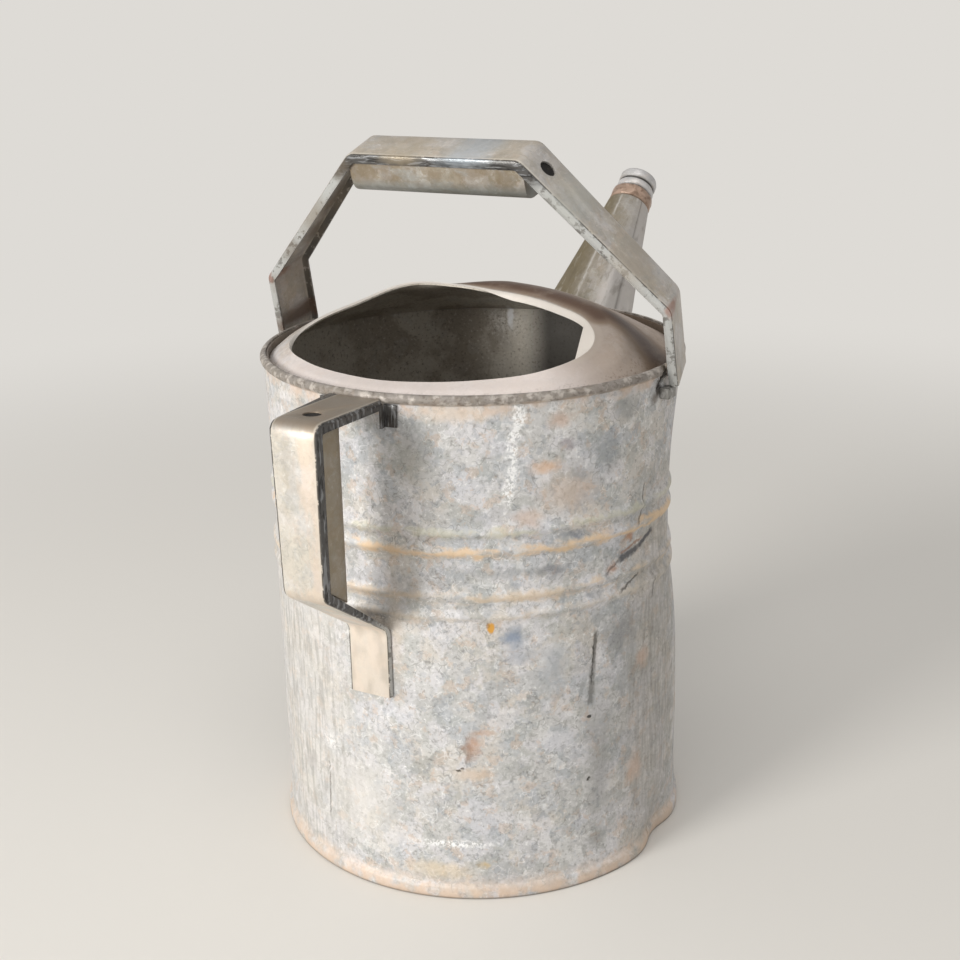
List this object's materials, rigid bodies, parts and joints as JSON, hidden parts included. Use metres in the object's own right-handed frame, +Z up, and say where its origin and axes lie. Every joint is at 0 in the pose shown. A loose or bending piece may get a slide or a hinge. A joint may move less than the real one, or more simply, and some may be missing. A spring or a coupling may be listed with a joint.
{
  "type": "watering can",
  "caption": "Old galvanised sheet-steel watering can: dented round body with raised bands, hooded mouth, folded spout with a ringed ferrule, strap carry handle and rear handle.",
  "frame": {"origin": "on the ground under the middle of the can's bounding box", "axes": "+Z up, +X the way the spout points, the carry handle spans along Y"},
  "size_m": [0.4426, 0.2698, 0.4204],
  "materials": {
    "weathered_zinc": "matt, mottled, galvanised spangle under a whitish bloom",
    "stained_zinc": "matt galvanised sheet with brown water stain",
    "handled_zinc": "galvanised sheet rubbed smoother by hands, dark in its folds",
    "old_solder": "dull grey soft solder"
  },
  "bodies": {
    "root": {"body_shell": "weathered_zinc", "base_disc": "weathered_zinc", "hood": "stained_zinc", "spout_tube": "weathered_zinc", "spout_solder": "old_solder", "spout_ferrule": "stained_zinc", "carry_handle_strap": "handled_zinc", "carry_handle_grip": "handled_zinc", "carry_foot_solder_left": "old_solder", "carry_foot_solder_right": "old_solder", "rear_handle_strap": "handled_zinc", "rear_handle_grip": "handled_zinc"}
  },
  "joints": []
}
